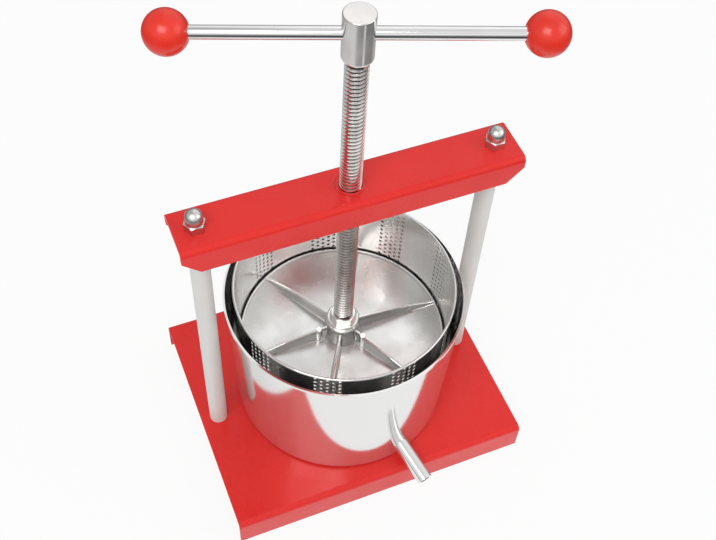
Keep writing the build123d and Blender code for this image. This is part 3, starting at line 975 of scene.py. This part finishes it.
class PRESS_OT_stage(bpy.types.Operator):
    """Set up the floor, lamps, world and camera"""

    bl_idname = "press.stage"
    bl_label = "Stage"

    def execute(self, context):
        scene = context.scene
        sizes = scene.press_stage
        self.make_floor(sizes)
        self.make_world(scene)
        middle = (0, 0, 0.2)
        soft_box("key_lamp", (-1.1, -1.2, 2.45), middle, width=1.6, height=1.2, watts=25)
        soft_box("fill_lamp", (1.6, -0.9, 1.5), middle, width=1.4, height=1.2, watts=6.5)
        soft_box("back_lamp", (0.75, 1.6, 2.6), middle, width=1.2, height=1.0, watts=1.1)
        self.make_camera(scene, sizes)
        scene.view_settings.view_transform = "Standard"
        return {"FINISHED"}

    def make_floor(self, sizes):
        """Pale floor that keeps the object's shadow but reads as white to the camera.

        Mirrors see it white near the press, with dark flags laid around it at some azimuths, and darker far
        away.
        """
        paint = (0.86, 0.86, 0.86, 1)
        white_share = 0.9
        half = sizes.floor_size / 2
        points = np.array([[-half, -half, 0], [half, -half, 0], [half, half, 0], [-half, half, 0]], float)
        floor = build_mesh("floor", points, np.array([[0, 1, 2, 3]]))
        material = bpy.data.materials.new("pale_floor")
        material.use_nodes = True
        tree = material.node_tree
        tree.nodes.clear()
        out = tree.nodes.new("ShaderNodeOutputMaterial")
        mix = tree.nodes.new("ShaderNodeMixShader")
        plain = tree.nodes.new("ShaderNodeBsdfDiffuse")
        plain.inputs["Color"].default_value = paint
        white = tree.nodes.new("ShaderNodeEmission")
        white.inputs["Color"].default_value = (1, 1, 1, 1)
        path = tree.nodes.new("ShaderNodeLightPath")
        mirrored = path.outputs["Is Glossy Ray"]
        direct = math_node(tree, "MULTIPLY", seen_directly(tree, path), white_share)
        share = math_node(tree, "MAXIMUM", direct, mirrored)
        place = tree.nodes.new("ShaderNodeTexCoord").outputs["Object"]
        level = mixed_level(tree, mirrored, 1.0, self.mirrored_floor(tree, place, half))
        tree.links.new(level, white.inputs["Strength"])
        tree.links.new(share, mix.inputs["Fac"])
        tree.links.new(plain.outputs[0], mix.inputs[1])
        tree.links.new(white.outputs[0], mix.inputs[2])
        tree.links.new(mix.outputs[0], out.inputs["Surface"])
        floor.data.materials.append(material)

    def mirrored_floor(self, tree, place, half):
        """Brightness of the floor in mirrors: flags in a ring round the press, falling off outwards."""
        turn = azimuth_share(tree, place)
        near = grey_ramp(tree, turn, [(0.0, 0.8), (0.08, 1.0), (0.42, 1.0), (0.52, 0.8), (1.0, 0.8)])
        flags = grey_ramp(tree, turn, [
            (0.00, 0.68), (0.12, 0.70), (0.17, 0.36), (0.27, 0.26), (0.285, 0.70), (0.305, 0.70),
            (0.32, 0.22), (0.46, 0.22), (0.54, 0.45), (0.65, 0.50), (0.80, 0.50), (0.88, 0.60), (1.00, 0.68),
        ])
        far = math_node(tree, "DIVIDE", axis_distance(tree, place), half)
        ring = grey_ramp(tree, far, [(0.0, 0.0), (0.075, 0.0), (0.09, 1.0), (1.0, 1.0)])
        falloff = grey_ramp(tree, far, [
            (0.0, 1.0), (0.11, 1.0), (0.19, 0.2), (0.36, 0.1), (0.7, 0.5), (1.0, 0.55),
        ])
        return math_node(tree, "MULTIPLY", mixed_level(tree, ring, near, flags), falloff)

    def make_world(self, scene):
        """Even grey light, white to the camera; mirrors see a bright room, dimmer at the back left."""
        light_level = 0.65
        world = bpy.data.worlds.new("studio")
        world.use_nodes = True
        scene.world = world
        tree = world.node_tree
        tree.nodes.clear()
        out = tree.nodes.new("ShaderNodeOutputWorld")
        background = tree.nodes.new("ShaderNodeBackground")
        background.inputs["Color"].default_value = (1, 1, 1, 1)
        path = tree.nodes.new("ShaderNodeLightPath")
        way = tree.nodes.new("ShaderNodeTexCoord").outputs["Generated"]
        height = split(tree, way)["Z"]
        room = grey_ramp(tree, height, [
            (0.0, 0.4), (0.12, 0.5), (0.24, 1.0), (0.5, 0.95), (0.66, 0.87), (0.82, 0.95), (1.0, 0.8),
        ])
        walls = grey_ramp(tree, azimuth_share(tree, way), [
            (0.0, 0.85), (0.1, 0.95), (0.68, 1.0), (0.75, 0.55), (0.9, 0.55), (1.0, 0.85),
        ])
        room = math_node(tree, "MULTIPLY", room, walls)
        plain = mixed_level(tree, seen_directly(tree, path), light_level, 1.0)
        level = mixed_level(tree, path.outputs["Is Glossy Ray"], plain, room)
        tree.links.new(level, background.inputs["Strength"])
        tree.links.new(background.outputs[0], out.inputs["Surface"])

    def make_camera(self, scene, sizes):
        """Camera at the photograph's place, turned by azimuth, elevation and roll."""
        azimuth, height, roll = sizes.camera_azimuth, sizes.camera_height, sizes.camera_roll
        flat = math.cos(height)
        back = Vector((math.sin(azimuth) * flat, -math.cos(azimuth) * flat, math.sin(height)))
        level = Vector((0, 0, 1)).cross(back).normalized()
        upright = back.cross(level)
        right = level * math.cos(roll) + upright * math.sin(roll)
        up = upright * math.cos(roll) - level * math.sin(roll)
        camera = bpy.data.cameras.new("camera")
        camera.sensor_fit = "HORIZONTAL"
        camera.sensor_width = 36.0
        camera.lens = camera.sensor_width * sizes.focal_pixels / sizes.picture_width
        camera.clip_end = 50
        obj = bpy.data.objects.new("camera", camera)
        turn = Matrix((right, up, back)).transposed().to_4x4()
        obj.matrix_world = Matrix.Translation(Vector(sizes.camera_place)) @ turn
        scene.collection.objects.link(obj)
        scene.camera = obj


class PRESS_PT_panel(bpy.types.Panel):
    """Lists the press's pieces and their sizes"""

    bl_idname = "PRESS_PT_panel"
    bl_label = "Fruit Press"
    bl_space_type = "VIEW_3D"
    bl_region_type = "UI"
    bl_category = "Fruit Press"

    def draw(self, context):
        for operator in operators:
            self.layout.operator(operator.bl_idname)
        for name in settings:
            group = getattr(context.scene, name)
            box = self.layout.box()
            for prop in group.bl_rna.properties:
                if prop.identifier not in {"rna_type", "name"}:
                    box.prop(group, prop.identifier)


operators = (PRESS_OT_frame, PRESS_OT_fasteners, PRESS_OT_screw, PRESS_OT_handle, PRESS_OT_plate,
             PRESS_OT_pot, PRESS_OT_basket, PRESS_OT_stage)
settings = {"press_basket": PressBasketSizes, "press_screw": PressScrewSizes, "press_plate": PressPlateSizes,
            "press_colours": PressColours, "press_stage": PressStageSizes}


def register():
    """Add the settings, operators and panel to Blender."""
    for group in settings.values():
        bpy.utils.register_class(group)
    for name, group in settings.items():
        setattr(bpy.types.Scene, name, PointerProperty(type=group))
    for cls in (*operators, PRESS_PT_panel):
        bpy.utils.register_class(cls)


def unregister():
    """Take them out again, in the opposite order."""
    for cls in (PRESS_PT_panel, *reversed(operators)):
        bpy.utils.unregister_class(cls)
    for name in settings:
        delattr(bpy.types.Scene, name)
    for group in settings.values():
        bpy.utils.unregister_class(group)


def main():
    """Register the add-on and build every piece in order."""
    register()
    for operator in operators:
        group, action = operator.bl_idname.split(".")
        getattr(getattr(bpy.ops, group), action)()


if __name__ == "__main__":
    main()
